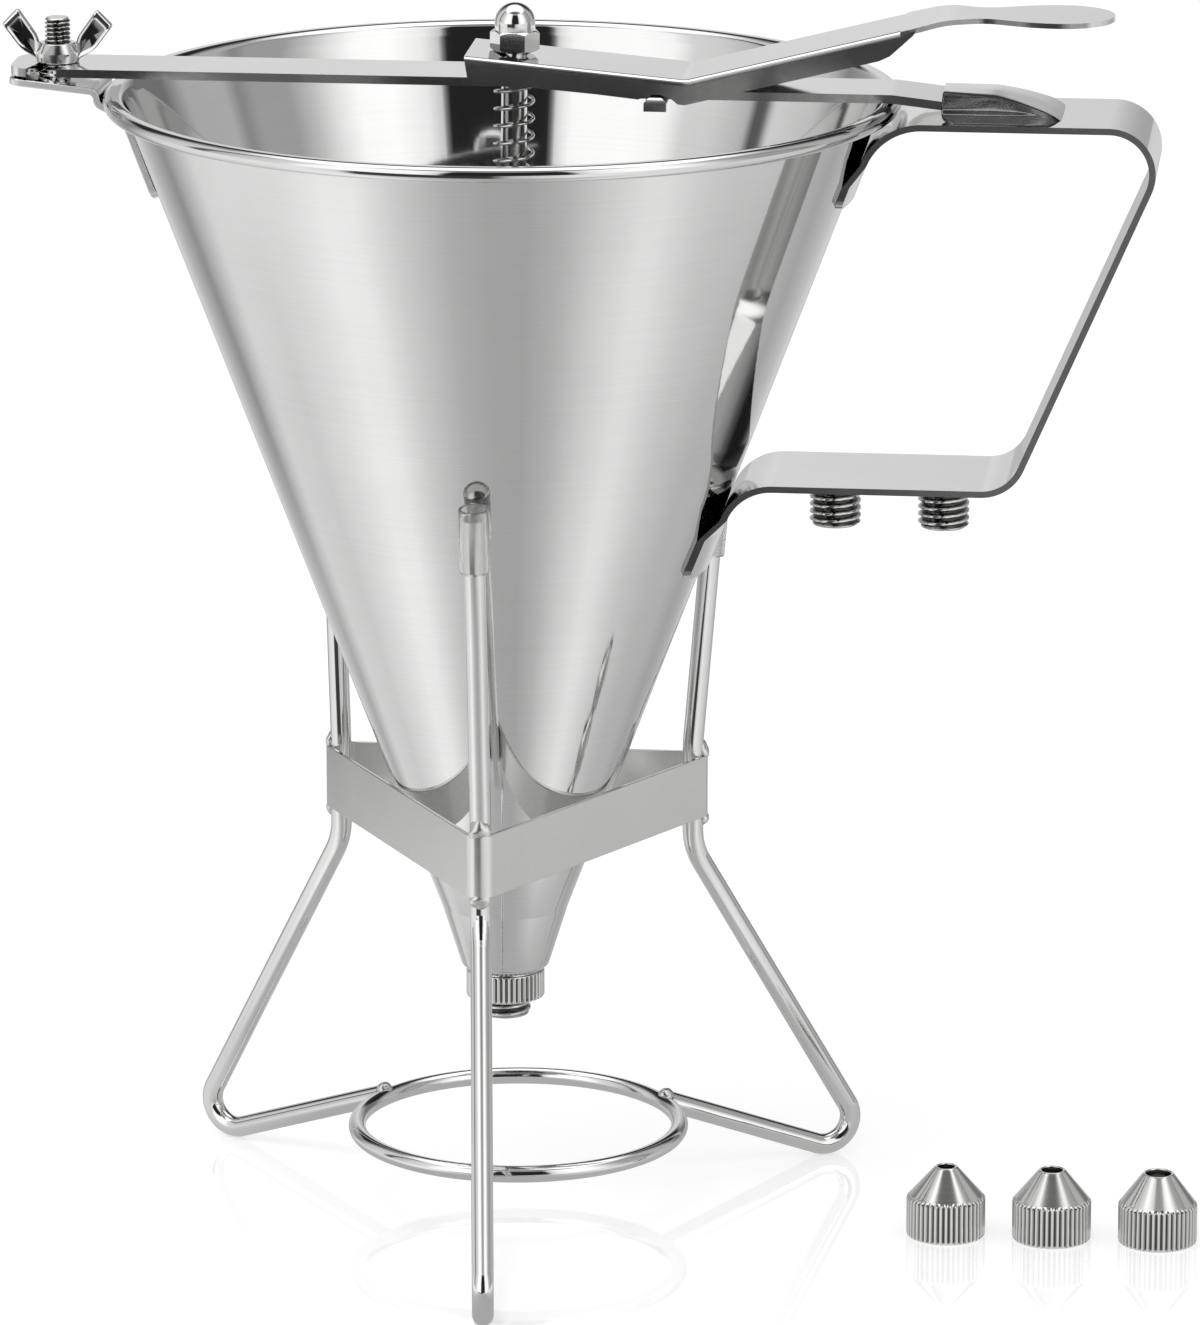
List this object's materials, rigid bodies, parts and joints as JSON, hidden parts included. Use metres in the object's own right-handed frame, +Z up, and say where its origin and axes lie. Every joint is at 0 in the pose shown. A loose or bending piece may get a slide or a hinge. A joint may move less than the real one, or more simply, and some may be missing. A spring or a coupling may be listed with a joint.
{
  "type": "pancake batter dispenser",
  "caption": "Cone funnel batter dispenser with a lever-opened valve, strap handle and wire stand, beside its screw-on nozzles.",
  "frame": {"origin": "on the funnel's upright axis, at the level of the table that the stand's feet rest on", "axes": "+Z up along the funnel's axis, +X out along the crossbar towards the handle, +Y away from the front leg"},
  "size_m": [0.2826, 0.1951, 0.2894],
  "materials": {
    "cone": "fine circular brushing",
    "strip": "polished stainless steel",
    "wire": "polished stainless wire and rod",
    "turned": "satin turned stainless steel",
    "soft_sleeve": "clear soft tube"
  },
  "bodies": {
    "stand": {"base_ring": "wire", "cradle_band": "strip", "leg_front": "wire", "leg_left": "wire", "leg_right": "wire", "sleeve_front": "soft_sleeve", "sleeve_left": "soft_sleeve", "sleeve_right": "soft_sleeve"},
    "funnel": {"funnel_cone": "cone", "outlet_spout": "turned", "knurled_collar": "turned", "handle_strip": "strip", "storage_stud_inner": "turned", "storage_stud_outer": "turned", "bar_socket": "strip", "bar_bracket": "strip", "bar_stud": "turned", "crossbar": "strip", "spring": "wire"},
    "lever": {"lever": "strip"},
    "valve": {"valve_rod": "wire", "valve_plug": "turned", "spring_collar": "turned", "acorn_nut": "turned"},
    "wing_nut": {"wing_nut": "turned"},
    "nozzle_small": {"nozzle_small": "turned"},
    "nozzle_medium": {"nozzle_medium": "turned"},
    "nozzle_large": {"nozzle_large": "turned"}
  },
  "joints": [
    {"name": "funnel_lift", "type": "slide", "parent": "stand", "child": "funnel", "axis": [0, 0, 1], "range_m": [0, 0.12]},
    {"name": "lever_press", "type": "hinge", "parent": "funnel", "child": "lever", "pos_m": [0.0367, 0, 0.2707], "axis": [0, 1, 0], "range_deg": [0, 8], "stiffness_Nm_per_rad": 1.7, "springref_deg": -9.74},
    {"name": "valve_lift", "type": "slide", "parent": "funnel", "child": "valve", "axis": [0.013, 0, 0.9999], "range_m": [0, 0.0058], "deforming": ["spring"]},
    {"name": "wing_nut_turn", "type": "hinge", "parent": "funnel", "child": "wing_nut", "pos_m": [-0.10405, 0, 0.2757], "axis": [0, 0, 1], "continuous": true},
    {"name": "nozzle_small_lift", "type": "slide", "parent": "stand", "child": "nozzle_small", "axis": [0, 0, 1], "range_m": [0, 0.05]},
    {"name": "nozzle_medium_lift", "type": "slide", "parent": "stand", "child": "nozzle_medium", "axis": [0, 0, 1], "range_m": [0, 0.05]},
    {"name": "nozzle_large_lift", "type": "slide", "parent": "stand", "child": "nozzle_large", "axis": [0, 0, 1], "range_m": [0, 0.05]}
  ],
  "couplings": [
    {"joint": "valve_lift", "follows": "lever_press", "m_per_rad": 0.0404}
  ]
}
